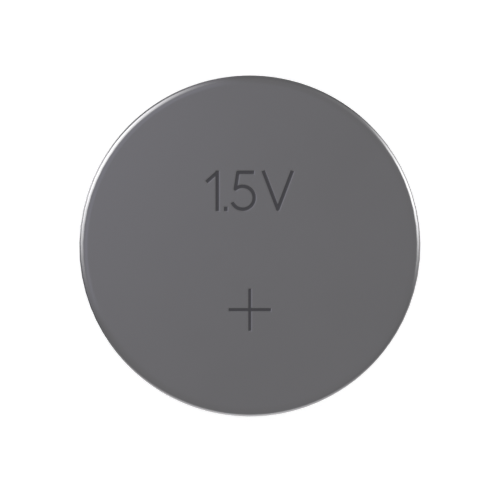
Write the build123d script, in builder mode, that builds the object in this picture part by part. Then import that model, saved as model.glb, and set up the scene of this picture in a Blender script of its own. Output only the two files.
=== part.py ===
from build123d import *
import os
from math import cos, radians, sin, tan

# An alkaline button cell, the standard size 11.6 mm across and 5.4 mm high.
#
# Frame: millimetres, +Z up. The origin is the centre of the negative contact, so the cell
# stands on its cap and the can's flat positive face is on top. Every piece is round, and
# each section is drawn on the XZ plane as (radius, height) and turned about Z.
#
# From the outside in, the pieces are:
#   can             deep-drawn cup of nickel-plated steel, crimped in over the gasket
#   gasket          nylon ring of J section that seals the can to the cap and insulates it
#   cap             stepped cup of clad sheet, its rim folded back on itself
#   pellet_ring     steel ring of L section that takes the gasket's thrust off the pellet
#   cathode_pellet  pressed tablet of manganese dioxide and graphite
#   separator_film  barrier film between the electrodes
#   absorbent_pad   non-woven pad that holds the electrolyte
#   anode_gel       zinc powder in gelled electrolyte, which fills the cap

# ---------------------------------------------------------------- driving dimensions

cell_diameter = 11.6
cell_height = 5.4

can_sheet = 0.25
can_edge_radius = 0.30  # outside, where the positive face turns into the side wall
crimp_turn = 65.0  # degrees that the lip is turned in from the side wall
crimp_radius = 0.80  # outside of that bend
lip_radius = 4.95  # outer edge of the lip's end
lip_height = 0.62
lip_edge_radius = 0.06

cap_sheet = 0.20
contact_radius = 4.45  # where the contact face and the riser would meet, were they sharp
contact_edge_radius = 0.35
step_radius = 4.58  # top of the riser, which leans out a little
step_height = 0.95
step_bend_radius = 0.10
shoulder_height = 1.08  # outer end of the shoulder, which slopes up from the step
shoulder_bend_radius = 0.25
skirt_radius = 5.02  # outside of the skirt's inner leaf
fold_gap = 0.04  # between the two leaves of the folded rim
outer_leaf_height = 1.35  # free edge of the leaf that is folded back

gasket_foot = 0.30  # thickness under the folded rim
gasket_lip_height = 0.70  # ring of gasket that shows between the lip and the cap
short_leg_radius = 4.55  # inner face of the J's short leg
short_leg_height = 2.30  # its free edge

pellet_thickness = 1.95
pellet_chamfer = 0.12
ring_sheet = 0.20
ring_inner_radius = 4.60
ring_leg = 0.90  # height of the ring's upright leg
ring_bend_radius = 0.25  # outside

film_thickness = 0.10
film_radius = 5.50
pad_thickness = 0.35

# ------------------------------------------------------------------ derived dimensions

can_radius = cell_diameter / 2
can_bore = can_radius - can_sheet
can_floor = cell_height - can_sheet  # inside of the positive face

# The corner where the side wall and the lip would meet, on either side of the sheet.
crimp_corner = lip_height + (can_radius - lip_radius) / tan(radians(crimp_turn))
crimp_inner_corner = crimp_corner + can_sheet * tan(radians(crimp_turn / 2))
lip_inner_edge = (
    lip_radius - can_sheet * cos(radians(crimp_turn)),
    lip_height + can_sheet * sin(radians(crimp_turn)),
)
lip_end_middle = (
    (lip_radius + lip_inner_edge[0]) / 2,
    (lip_height + lip_inner_edge[1]) / 2,
)

pellet_face = can_floor - pellet_thickness
film_face = pellet_face - film_thickness  # the film lies on the gasket and the pad
pad_face = film_face - pad_thickness

fold_width = 2 * cap_sheet + fold_gap
fold_inner = skirt_radius - cap_sheet
fold_outer = fold_inner + fold_width
fold_centre_height = film_face - gasket_foot - fold_width / 2

riser_slope = (step_radius - contact_radius) / step_height
gasket_lip_radius = contact_radius + riser_slope * gasket_lip_height

cap_corners = [
    (0, 0),
    (contact_radius, 0),
    (step_radius, step_height),
    (skirt_radius, shoulder_height),
]
cap_radii = [contact_edge_radius, step_bend_radius, shoulder_bend_radius]

os.makedirs("parts", exist_ok=True)

# ------------------------------------------------------------------ the crimped closure

# One sheet: its outside line, thickened inwards.
with BuildPart() as can:
    with BuildSketch(Plane.XZ) as can_section:
        with BuildLine():
            outside = FilletPolyline(
                (0, cell_height),
                (can_radius, cell_height),
                (can_radius, crimp_corner),
                (lip_radius, lip_height),
                radius=[can_edge_radius, crimp_radius],
            )
            offset(outside, amount=can_sheet, side=Side.RIGHT)
        make_face()
        lip_edges = can_section.vertices().sort_by(Axis.Y)
        fillet(lip_edges[0], radius=lip_edge_radius)
    revolve(axis=Axis.Z)
can.part.label = "can"
export_step(can.part, "parts/can.step")

# One sheet too. It climbs the riser, the shoulder and the skirt, turns back round a half
# circle and comes down again as the outer leaf.
with BuildPart() as cap:
    with BuildSketch(Plane.XZ):
        with BuildLine():
            crown = FilletPolyline(
                cap_corners + [(skirt_radius, fold_centre_height)], radius=cap_radii
            )
            fold = JernArc(crown @ 1, crown % 1, radius=fold_gap / 2, arc_size=-180)
            leaf = Line(fold @ 1, (skirt_radius + fold_gap, outer_leaf_height))
            offset([crown, fold, leaf], amount=cap_sheet, side=Side.LEFT)
        make_face()
    revolve(axis=Axis.Z)
cap.part.label = "cap"
export_step(cap.part, "parts/cap.step")

# The folded rim drops into the J, and the crimp presses the J's long leg in over the
# cap's shoulder, so the gasket's section follows both sheets.
with BuildPart() as gasket:
    with BuildSketch(Plane.XZ):
        with BuildLine():
            beside_leaf = Polyline(
                (fold_outer, fold_centre_height),
                (fold_outer, outer_leaf_height),
                (skirt_radius, outer_leaf_height),
            )
            on_shoulder = FilletPolyline(
                beside_leaf @ 1,
                (skirt_radius, shoulder_height),
                (step_radius, step_height),
                (gasket_lip_radius, gasket_lip_height),
                radius=[shoulder_bend_radius, step_bend_radius],
            )
            at_lip = Polyline(on_shoulder @ 1, lip_end_middle, lip_inner_edge)
            in_can = FilletPolyline(
                at_lip @ 1,
                (can_bore, crimp_inner_corner),
                (can_bore, film_face),
                radius=crimp_radius - can_sheet,
            )
            short_leg = Polyline(
                in_can @ 1,
                (short_leg_radius, film_face),
                (short_leg_radius, short_leg_height),
                (fold_inner, short_leg_height),
                (fold_inner, fold_centre_height),
            )
            JernArc(short_leg @ 1, short_leg % 1, radius=fold_width / 2, arc_size=-180)
        make_face()
    revolve(axis=Axis.Z)
gasket.part.label = "gasket"
export_step(gasket.part, "parts/gasket.step")

# ------------------------------------------------------------------------ the cathode

with BuildPart() as pellet_ring:
    with BuildSketch(Plane.XZ):
        with BuildLine():
            outside = FilletPolyline(
                (ring_inner_radius, pellet_face),
                (can_bore, pellet_face),
                (can_bore, pellet_face + ring_leg),
                radius=ring_bend_radius,
            )
            offset(outside, amount=ring_sheet, side=Side.LEFT)
        make_face()
    revolve(axis=Axis.Z)
pellet_ring.part.label = "pellet_ring"
export_step(pellet_ring.part, "parts/pellet_ring.step")

# The pellet is stepped where the ring is pressed on to its edge.
with BuildPart() as cathode_pellet:
    with BuildSketch(Plane.XZ):
        with BuildLine():
            under_ring = FilletPolyline(
                (ring_inner_radius, pellet_face + ring_sheet),
                (can_bore - ring_sheet, pellet_face + ring_sheet),
                (can_bore - ring_sheet, pellet_face + ring_leg),
                radius=ring_bend_radius - ring_sheet,
            )
            Polyline(
                under_ring @ 1,
                (can_bore, pellet_face + ring_leg),
                (can_bore, can_floor),
                (0, can_floor),
                (0, pellet_face),
                (ring_inner_radius, pellet_face),
                under_ring @ 0,
            )
        make_face()
    revolve(axis=Axis.Z)
    chamfer(cathode_pellet.edges().group_by(Axis.Z)[-1], length=pellet_chamfer)
cathode_pellet.part.label = "cathode_pellet"
export_step(cathode_pellet.part, "parts/cathode_pellet.step")

# -------------------------------------------------------------- separators and anode

with BuildPart() as separator_film:
    with BuildSketch(Plane.XY.offset(film_face)):
        Circle(film_radius)
    extrude(amount=film_thickness)
separator_film.part.label = "separator_film"
export_step(separator_film.part, "parts/separator_film.step")

with BuildPart() as absorbent_pad:
    with BuildSketch(Plane.XY.offset(pad_face)):
        Circle(short_leg_radius)
    extrude(amount=pad_thickness)
absorbent_pad.part.label = "absorbent_pad"
export_step(absorbent_pad.part, "parts/absorbent_pad.step")

# The gel takes the shape of what holds it: the cap and the gasket, up to the pad.
with BuildPart() as anode_gel:
    with BuildSketch(Plane.XZ):
        with BuildLine():
            filled = FilletPolyline(
                cap_corners + [(skirt_radius, pad_face)], radius=cap_radii
            )
            Polyline(filled @ 1, (0, pad_face), filled @ 0)
        make_face()
    revolve(axis=Axis.Z)
    add(cap.part, mode=Mode.SUBTRACT)
    add(gasket.part, mode=Mode.SUBTRACT)
anode_gel.part.label = "anode_gel"
export_step(anode_gel.part, "parts/anode_gel.step")
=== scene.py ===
"""Finishes, light and camera for a small round alkaline button cell.

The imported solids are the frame. They are round but coarsely meshed, so each piece is turned
again here as a fine surface from the same section, in metres, and rides where its solid is.
The can also gets what its solid leaves out: the engraved marks on its positive face.
"""
import logging
import math
from abc import ABC, abstractmethod
from dataclasses import dataclass, field, replace
from enum import Enum
from typing import Any, Callable, Sequence

import bpy
import numpy as np
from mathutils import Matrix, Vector


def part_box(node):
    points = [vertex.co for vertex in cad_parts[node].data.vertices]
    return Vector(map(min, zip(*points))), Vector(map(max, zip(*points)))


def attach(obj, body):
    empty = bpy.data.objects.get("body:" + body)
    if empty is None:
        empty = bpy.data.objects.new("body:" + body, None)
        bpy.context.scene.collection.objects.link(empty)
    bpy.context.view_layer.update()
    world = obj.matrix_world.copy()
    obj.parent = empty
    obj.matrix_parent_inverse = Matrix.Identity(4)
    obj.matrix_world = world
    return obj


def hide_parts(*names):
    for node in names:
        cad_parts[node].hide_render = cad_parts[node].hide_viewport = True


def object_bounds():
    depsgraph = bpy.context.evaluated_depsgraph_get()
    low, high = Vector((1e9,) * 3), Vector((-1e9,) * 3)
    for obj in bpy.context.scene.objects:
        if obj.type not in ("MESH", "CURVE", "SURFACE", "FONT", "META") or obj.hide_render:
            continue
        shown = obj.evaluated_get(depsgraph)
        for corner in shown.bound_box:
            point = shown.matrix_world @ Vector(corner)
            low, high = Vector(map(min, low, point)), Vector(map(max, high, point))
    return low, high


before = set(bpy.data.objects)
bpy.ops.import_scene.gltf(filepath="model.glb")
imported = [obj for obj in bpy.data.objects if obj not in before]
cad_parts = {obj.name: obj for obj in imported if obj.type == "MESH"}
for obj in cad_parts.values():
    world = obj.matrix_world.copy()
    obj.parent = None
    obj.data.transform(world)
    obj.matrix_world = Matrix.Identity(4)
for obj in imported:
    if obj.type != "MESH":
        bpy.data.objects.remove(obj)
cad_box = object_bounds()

LOG = logging.getLogger("button_cell")
BODY = "root"
MM = 0.001
COAT = "coat"  # name of the mesh attribute that tells which side of a sheet a point is on


# ------------------------------------------------------------------------- sections


class Coat(Enum):
    """Side of a sheet that a stretch of a section lies on; the value goes on the mesh."""

    OUTER = 0.0
    CUT = 0.5
    INNER = 1.0


@dataclass(frozen=True)
class Section:
    """Half of a turned piece's section: straight sides between rounded corners.

    Attributes:
        corners: (n, 2) array of (radius, height).
        radii: (n,) rounding radius of each corner.
        coats: (n,) coat of the side that leaves each corner.
        closed: True for a ring, False where the first and last corners are on the axis.
        arc_step: most that an arc turns from one of its points to the next.
        hold: distance from an arc to the point that keeps the next side flat.
    """

    corners: np.ndarray
    radii: np.ndarray
    coats: np.ndarray
    closed: bool = True
    arc_step: float = math.radians(7.5)
    hold: float = 0.012 * MM

    def _arc(self, index: int) -> np.ndarray:
        """Rounds one corner.

        The centre lies on the bisector at R / sin(a / 2), where a is the angle between the
        two sides, and the arc runs between the points R / tan(a / 2) along each side.

        Args:
            index: the corner's place in the section.

        Returns:
            (k, 2) points of the arc, or the corner itself where it isn't rounded.
        """
        count = len(self.corners)
        here, radius = self.corners[index], self.radii[index]
        at_end = not self.closed and index in (0, count - 1)
        if radius <= 0.0 or at_end:
            return here[None, :]
        back = self.corners[index - 1] - here
        ahead = self.corners[(index + 1) % count] - here
        back, ahead = back / np.linalg.norm(back), ahead / np.linalg.norm(ahead)
        angle = math.acos(float(np.clip(back @ ahead, -1.0, 1.0)))
        middle = back + ahead
        centre = here + middle / np.linalg.norm(middle) * radius / math.sin(angle / 2)
        start = here + back * radius / math.tan(angle / 2) - centre
        turn = math.copysign(math.pi - angle, ahead[0] * back[1] - ahead[1] * back[0])
        steps = max(2, math.ceil(abs(turn) / self.arc_step))
        swept = np.linspace(0.0, turn, steps + 1)[:, None]
        sideways = np.array([-start[1], start[0]])
        return centre + np.cos(swept) * start + np.sin(swept) * sideways

    def trace(self) -> tuple[np.ndarray, np.ndarray]:
        """Lists the section's points in order.

        Each side gets a holding point close to both of its ends, so that smooth shading
        doesn't bleed from a rounded corner over a flat.

        Returns:
            (k, 2) points and (k,) coats.
        """
        arcs = [self._arc(i) for i in range(len(self.corners))]
        runs, coats = [], []
        for i, arc in enumerate(arcs):
            before = self.coats[i - 1] if self.closed or i else self.coats[0]
            share = np.linspace(0.0, 1.0, len(arc)) if len(arc) > 1 else np.ones(1)
            runs.append(arc)
            coats.append(np.where(share < 0.5, before, self.coats[i]))
            if not self.closed and i == len(arcs) - 1:
                break
            start, end = arc[-1], arcs[(i + 1) % len(arcs)][0]
            length = float(np.linalg.norm(end - start))
            if length > 3 * self.hold:  # a shorter side stays as it is
                near = self.hold / length
                share = np.array([near, 1.0 - near])[:, None]
                runs.append(start + share * (end - start))
                coats.append(np.full(2, self.coats[i]))
        return np.concatenate(runs), np.concatenate(coats)


def mitred(skin: np.ndarray, distance: float) -> np.ndarray:
    """Offsets a line of corners to its left.

    A corner moves by d (n1 + n2) / (1 + n1 . n2), where n1 and n2 are the unit normals of
    its two sides, and an end moves by d along the normal of its only side.

    Args:
        skin: (n, 2) corners.
        distance: how far to the left, negative for the right.

    Returns:
        (n, 2) corners of the offset line.
    """
    along = np.diff(skin, axis=0)
    along /= np.linalg.norm(along, axis=1)[:, None]
    normal = np.stack([-along[:, 1], along[:, 0]], axis=1)
    first, second = np.vstack([normal[:1], normal]), np.vstack([normal, normal[-1:]])
    spread = 1.0 + np.sum(first * second, axis=1)
    return skin + distance * (first + second) / spread[:, None]


def sheet_section(
    skin: Sequence[Sequence[float]],
    radii: Sequence[float],
    thickness: float,
    edge_radius: float,
    on_axis: bool,
) -> Section:
    """Gives a bent sheet its two skins.

    The second skin is the first one mitred by the thickness. Bends that turn towards it
    lose the thickness from their radius, and the others gain it.

    Args:
        skin: corners (radius, height) of the outer skin.
        radii: bend radius of each inner corner of that skin.
        thickness: to the left of the skin, negative for the right.
        edge_radius: rounding of the sheet's free edges.
        on_axis: True where the first corner is on the axis.

    Returns:
        The sheet's section.
    """
    outer = np.asarray(skin, float)
    inner = mitred(outer, thickness)
    along = np.diff(outer, axis=0)
    turn = np.sign(along[:-1, 0] * along[1:, 1] - along[:-1, 1] * along[1:, 0])
    bends = np.asarray(radii, float)
    edge = [edge_radius]
    start = [0.0] if on_axis else edge
    sides, cut = len(outer) - 1, [Coat.CUT.value]
    coats = [Coat.OUTER.value] * sides + cut + [Coat.INNER.value] * sides + cut
    return Section(
        corners=np.vstack([outer, inner[::-1]]),
        radii=np.concatenate([start, bends, edge, edge, (bends - thickness * turn)[::-1], start]),
        coats=np.array(coats),
        closed=not on_axis,
    )


def solid_section(rows: Sequence[Sequence[float]], on_axis: bool) -> Section:
    """Makes the section of a piece with one finish all over.

    Args:
        rows: (radius, height, rounding) of each corner.
        on_axis: True where the first and last corners are on the axis.

    Returns:
        The section.
    """
    table = np.array(rows, float)
    coats = np.full(len(table), Coat.OUTER.value)
    return Section(table[:, :2], table[:, 2], coats, closed=not on_axis)


# ------------------------------------------------------------------------- surfaces


@dataclass
class Surface:
    """A mesh under construction, as whole arrays.

    Attributes:
        points: (n, 3) places in metres.
        quads: (f, 4) corner numbers.
        coats: (n,) value of the coat attribute.
    """

    points: np.ndarray
    quads: np.ndarray
    coats: np.ndarray

    @classmethod
    def grid(cls, points: np.ndarray, coats: np.ndarray, wrap: bool) -> "Surface":
        """Joins the points of a (rows, columns, 3) grid into quads.

        Args:
            points: the grid's points.
            coats: (rows, columns) coat values.
            wrap: True where the last column joins the first.

        Returns:
            The surface.
        """
        rows, columns = points.shape[:2]
        index = np.arange(rows * columns).reshape(rows, columns)
        if wrap:
            index = np.hstack([index, index[:, :1]])
        quads = np.stack(
            [index[:-1, :-1], index[:-1, 1:], index[1:, 1:], index[1:, :-1]], axis=-1
        )
        return cls(points.reshape(-1, 3), quads.reshape(-1, 4), coats.reshape(-1))

    @classmethod
    def turned(cls, section: Section, angles: np.ndarray) -> "Surface":
        """Turns a section about Z: the point (r, z) at angle t goes to (r cos t, r sin t, z).

        Args:
            section: what is turned.
            angles: (m,) angles round the axis.

        Returns:
            The surface, open only where the section is.
        """
        line, coats = section.trace()
        if section.closed:
            line, coats = np.vstack([line, line[:1]]), np.append(coats, coats[0])
        radius, height = line[:, :1], line[:, 1:]
        points = np.stack(
            [radius * np.cos(angles), radius * np.sin(angles), height + 0.0 * angles], axis=-1
        )
        return cls.grid(points, coats[:, None] + 0.0 * angles, wrap=True)

    def joined(self, *others: "Surface") -> "Surface":
        """Puts several surfaces in one, without welding them.

        Args:
            others: the surfaces that are added to this one.

        Returns:
            The surface with all of them.
        """
        parts = (self, *others)
        starts = np.cumsum([0] + [len(part.points) for part in parts[:-1]])
        return Surface(
            np.concatenate([part.points for part in parts]),
            np.concatenate([part.quads + start for part, start in zip(parts, starts)]),
            np.concatenate([part.coats for part in parts]),
        )

    def welded(self, tolerance: float = 2e-8) -> "Surface":
        """Merges points that share a place, which closes seams and poles.

        Args:
            tolerance: size of the cells that points are sorted into.

        Returns:
            The welded surface. A quad that lost a corner keeps it twice.
        """
        cells = np.round(self.points / tolerance).astype(np.int64)
        _, first, number = np.unique(cells, axis=0, return_index=True, return_inverse=True)
        return Surface(self.points[first], number.reshape(-1)[self.quads], self.coats[first])

    def _polygons(self) -> list[list[int]]:
        """Splits the quads into true quads and triangles, and drops what has no area.

        Returns:
            The corner numbers of each polygon.
        """
        following = np.roll(self.quads, -1, axis=1)
        doubled = self.quads == following
        lost = doubled.sum(axis=1)
        whole = self.quads[lost == 0]
        triangles = self.quads[lost == 1][~doubled[lost == 1]].reshape(-1, 3)
        return whole.tolist() + triangles.tolist()

    def _points_outward(self) -> bool:
        """Tells whether the volume, the sum of a . (b x c + c x d) / 6, is positive."""
        a, b, c, d = (self.points[self.quads[:, i]] for i in range(4))
        return bool(np.sum(a * (np.cross(b, c) + np.cross(c, d))) > 0.0)

    def to_object(self, name: str) -> bpy.types.Object:
        """Makes a smooth-shaded mesh object with outward faces.

        Args:
            name: name of the object and its mesh.

        Returns:
            The linked object, at the origin.
        """
        whole = self.welded()
        if not whole._points_outward():
            whole.quads = whole.quads[:, ::-1]
        mesh = bpy.data.meshes.new(name)
        mesh.from_pydata(whole.points.tolist(), [], whole._polygons())
        mesh.attributes.new(COAT, "FLOAT", "POINT").data.foreach_set(
            "value", whole.coats.astype(np.float32)
        )
        mesh.polygons.foreach_set("use_smooth", np.ones(len(mesh.polygons), bool))
        mesh.update()
        piece = bpy.data.objects.new(name, mesh)
        bpy.context.scene.collection.objects.link(piece)
        return piece


def even_angles(count: int) -> np.ndarray:
    """Gives equal steps round a full turn."""
    return np.arange(count) * (2.0 * math.pi / count)


# ------------------------------------------------------------------- engraved marks


class Tip(Enum):
    """How a stroke ends."""

    ROUND = "round"
    SQUARE = "square"


Offsets = tuple[np.ndarray, np.ndarray, np.ndarray]  # to the side, before and after a stroke


@dataclass(frozen=True)
class Stroke(ABC):
    """One movement of the engraving tool.

    Attributes:
        first: how it starts.
        last: how it ends.
    """

    first: Tip = field(default=Tip.SQUARE, kw_only=True)
    last: Tip = field(default=Tip.SQUARE, kw_only=True)

    @abstractmethod
    def _abreast(self, x: np.ndarray, y: np.ndarray) -> Offsets:
        """Gives the distance to the side, before the start and after the end."""

    def distance(self, x: np.ndarray, y: np.ndarray) -> np.ndarray:
        """Gives the distance from each point to the stroke's centre line.

        Beyond a round tip it is the root of the squares of the distances to the side and
        past the tip, and beyond a square one it is the larger of them.

        Args:
            x: places across the face.
            y: places up the face.

        Returns:
            The distances.
        """
        side, before, after = self._abreast(x, y)
        past = np.maximum(np.maximum(before, after), 0.0)
        tip = np.where(before > after, self.first is Tip.SQUARE, self.last is Tip.SQUARE)
        return np.where(tip, np.maximum(side, past), np.hypot(side, past))


@dataclass(frozen=True)
class Bar(Stroke):
    """A straight stroke from one point to another."""

    start: tuple[float, float]
    end: tuple[float, float]

    def _abreast(self, x: np.ndarray, y: np.ndarray) -> Offsets:
        """Measures along and across the segment.

        With u along it and p from its start, these are |u x p|, -p . u and p . u - length.

        Args:
            x: places across the face.
            y: places up the face.

        Returns:
            The distance to the side, before the start and after the end.
        """
        (ax, ay), (bx, by) = self.start, self.end
        length = math.hypot(bx - ax, by - ay)
        ux, uy = (bx - ax) / length, (by - ay) / length
        along = (x - ax) * ux + (y - ay) * uy
        return np.abs((y - ay) * ux - (x - ax) * uy), -along, along - length


@dataclass(frozen=True)
class Bow(Stroke):
    """A stroke along a circle, anticlockwise from one angle through a sweep, in degrees."""

    centre: tuple[float, float]
    radius: float
    start: float
    sweep: float

    def _abreast(self, x: np.ndarray, y: np.ndarray) -> Offsets:
        """Measures along and across the circle, from the middle of the arc.

        At a turn t from that middle and a distance r from the centre, these are |r - R|,
        R (-h - t) and R (t - h), where R is the circle's radius and h is half the sweep.

        Args:
            x: places across the face.
            y: places up the face.

        Returns:
            The distance to the side, before the start and after the end.
        """
        dx, dy = x - self.centre[0], y - self.centre[1]
        half = math.radians(self.sweep / 2)
        middle = math.radians(self.start) + half
        turned = np.mod(np.arctan2(dy, dx) - middle + math.pi, 2.0 * math.pi) - math.pi
        side = np.abs(np.hypot(dx, dy) - self.radius)
        return side, self.radius * (-half - turned), self.radius * (turned - half)


@dataclass(frozen=True)
class Glyph:
    """A character: its width, and its strokes in cap heights from its lower left."""

    width: float
    strokes: tuple[Stroke, ...]


ONE = Glyph(
    0.26,
    (Bar((0.0, 0.77), (0.26, 1.0), last=Tip.ROUND), Bar((0.26, 1.0), (0.26, 0.0))),
)
POINT = Glyph(0.04, (Bar((0.02, 0.0), (0.02, 0.02)),))
FIVE = Glyph(
    0.58,
    (
        Bar((0.53, 1.0), (0.14, 1.0), last=Tip.ROUND),
        Bar((0.14, 1.0), (0.07, 0.555), first=Tip.ROUND, last=Tip.ROUND),
        Bow((0.27, 0.31), 0.31, -148.0, 278.0, last=Tip.ROUND),
    ),
)
VOLT = Glyph(
    0.76,
    (Bar((0.0, 1.0), (0.38, 0.0), last=Tip.ROUND), Bar((0.38, 0.0), (0.76, 1.0), first=Tip.ROUND)),
)
PLUS = Glyph(1.0, (Bar((0.0, 0.5), (1.0, 0.5)), Bar((0.5, 0.0), (0.5, 1.0))))


@dataclass(frozen=True)
class Mark:
    """A line of characters engraved on the positive face.

    Attributes:
        glyphs: the characters, left to right.
        gaps: space after each character but the last, in cap heights.
        height: cap height.
        centre_y: height of the line's middle above the face's centre.
        stroke: width of the engraved line.
    """

    glyphs: tuple[Glyph, ...]
    gaps: tuple[float, ...]
    height: float
    centre_y: float
    stroke: float

    @property
    def width(self) -> float:
        """Overall width of the line, between the middles of its outer strokes."""
        return self.height * (sum(glyph.width for glyph in self.glyphs) + sum(self.gaps))

    def reach(self, margin: float) -> tuple[float, float, float, float]:
        """Gives the line's box with a margin: lowest x, highest x, lowest y, highest y."""
        half_x, half_y = self.width / 2 + margin, self.height / 2 + margin
        return -half_x, half_x, self.centre_y - half_y, self.centre_y + half_y

    def inside(self, x: np.ndarray, y: np.ndarray) -> np.ndarray:
        """Tells how far inside a stroke each point is.

        Args:
            x: places across the face.
            y: places up the face.

        Returns:
            Half the stroke's width less the distance to the nearest centre line.
        """
        up = (y - self.centre_y) / self.height + 0.5
        left = -self.width / (2 * self.height)
        nearest = np.full(np.shape(x), np.inf)
        for glyph, gap in zip(self.glyphs, (*self.gaps, 0.0)):
            for stroke in glyph.strokes:
                nearest = np.minimum(nearest, stroke.distance(x / self.height - left, up))
            left += glyph.width + gap
        return self.stroke / 2 - nearest * self.height


@dataclass(frozen=True)
class Engraving:
    """All the marks on the positive face, sunk into it to one depth.

    Attributes:
        marks: the lines of characters.
        depth: of the strokes.
        slope: width of a stroke's sloping side, as seen from above.
        margin: from the strokes' middles to the edge of the fine grid.
        fine: grid step over the marks.
        coarse: grid step between them.
    """

    marks: tuple[Mark, ...]
    depth: float = 0.014 * MM
    slope: float = 0.030 * MM
    margin: float = 0.12 * MM
    fine: float = 0.022 * MM
    coarse: float = 0.16 * MM

    def sunk(self, x: np.ndarray, y: np.ndarray) -> np.ndarray:
        """Gives the depth at each point: a smooth step, 3 s^2 - 2 s^3, over the slope.

        Args:
            x: places across the face.
            y: places up the face.

        Returns:
            How far each point lies under the face.
        """
        inside = np.max([mark.inside(x, y) for mark in self.marks], axis=0)
        share = np.clip(inside / self.slope + 0.5, 0.0, 1.0)
        return self.depth * share * share * (3.0 - 2.0 * share)

    def _lines(self, spans: list[tuple[float, float]]) -> np.ndarray:
        """Places grid lines: fine steps over each span and coarse ones between.

        Args:
            spans: low and high end of each mark.

        Returns:
            The lines, in order and without doubles.
        """
        lines, last = [], min(spans)[0]
        for low, high in sorted(spans):
            for start, end, step in ((last, low, self.coarse), (max(low, last), high, self.fine)):
                if end > start:
                    lines.append(np.linspace(start, end, math.ceil((end - start) / step) + 1))
            last = max(last, high)
        joined = np.concatenate(lines)
        apart = self.fine / 10
        return joined[np.append(True, np.diff(joined) > apart)]

    def patch(self) -> tuple[np.ndarray, np.ndarray]:
        """Gives the x lines and the y lines of a grid that holds all the marks."""
        boxes = [mark.reach(self.margin) for mark in self.marks]
        return self._lines([box[:2] for box in boxes]), self._lines([box[2:] for box in boxes])


# --------------------------------------------------------------------- shader maths


def _operator(operation: str, reflected: bool = False) -> "Callable[[Wire, Value], Wire]":
    """Makes an arithmetic method, which adds a Math node.

    Args:
        operation: what the node works out.
        reflected: True where the wire is the second of the two values.

    Returns:
        The method.
    """

    def method(self: "Wire", other: "Value") -> "Wire":
        """Works out the operation on the wire and another value."""
        values = (other, self) if reflected else (self, other)
        return self.tree.math(operation, *values)

    return method


class Wire:
    """An output socket, with arithmetic that adds Math nodes."""

    def __init__(self, tree: "Tree", socket: bpy.types.NodeSocket) -> None:
        """Wraps a socket of a tree."""
        self.tree = tree
        self.socket = socket

    __add__ = __radd__ = _operator("ADD")
    __mul__ = __rmul__ = _operator("MULTIPLY")
    __sub__, __rsub__ = _operator("SUBTRACT"), _operator("SUBTRACT", reflected=True)
    __truediv__, __rtruediv__ = _operator("DIVIDE"), _operator("DIVIDE", reflected=True)
    __pow__, __rpow__ = _operator("POWER"), _operator("POWER", reflected=True)

    def __abs__(self) -> "Wire":
        """Gives the size without the sign."""
        return self.tree.math("ABSOLUTE", self)

    def step(self, low: float, high: float, base: float = 0.0) -> "Wire":
        """Goes smoothly from 0 at base + low to 1 at base + high."""
        sockets = {"Value": self, "From Min": base + low, "From Max": base + high}
        return self.tree.add("ShaderNodeMapRange", {"interpolation_type": "SMOOTHSTEP"}, sockets)


Value = Wire | float
Colour = tuple[float, float, float]
Paint = Wire | Colour
Span = tuple[float, float]  # where a smooth change starts and ends
Spot = tuple[Wire, Wire, Wire, Wire]  # x, y, z and the distance from the axis

# A Mix node's sockets for colours: how much of the second, the first, the second, the result.
MIX_SHARE, MIX_FIRST, MIX_SECOND, MIX_RESULT = 0, 6, 7, 2


class Cell(Enum):
    """What is read of Voronoi cells; the value is the output's name."""

    DISTANCE = "Distance"
    NUMBER = "Color"


@dataclass(frozen=True)
class Grain:
    """Fractal noise, and how strongly it shows in a finish.

    Attributes:
        scale: cells to the unit.
        detail: octaves.
        harsh: share that each octave keeps of the one before.
        tint: how far it shades the colour.
        gloss: how far it moves the roughness.
        relief: how far it raises the surface.
    """

    scale: float = 1.0
    detail: float = 2.0
    harsh: float = 0.5
    tint: float = 0.0
    gloss: float = 0.0
    relief: float = 0.0


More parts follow.
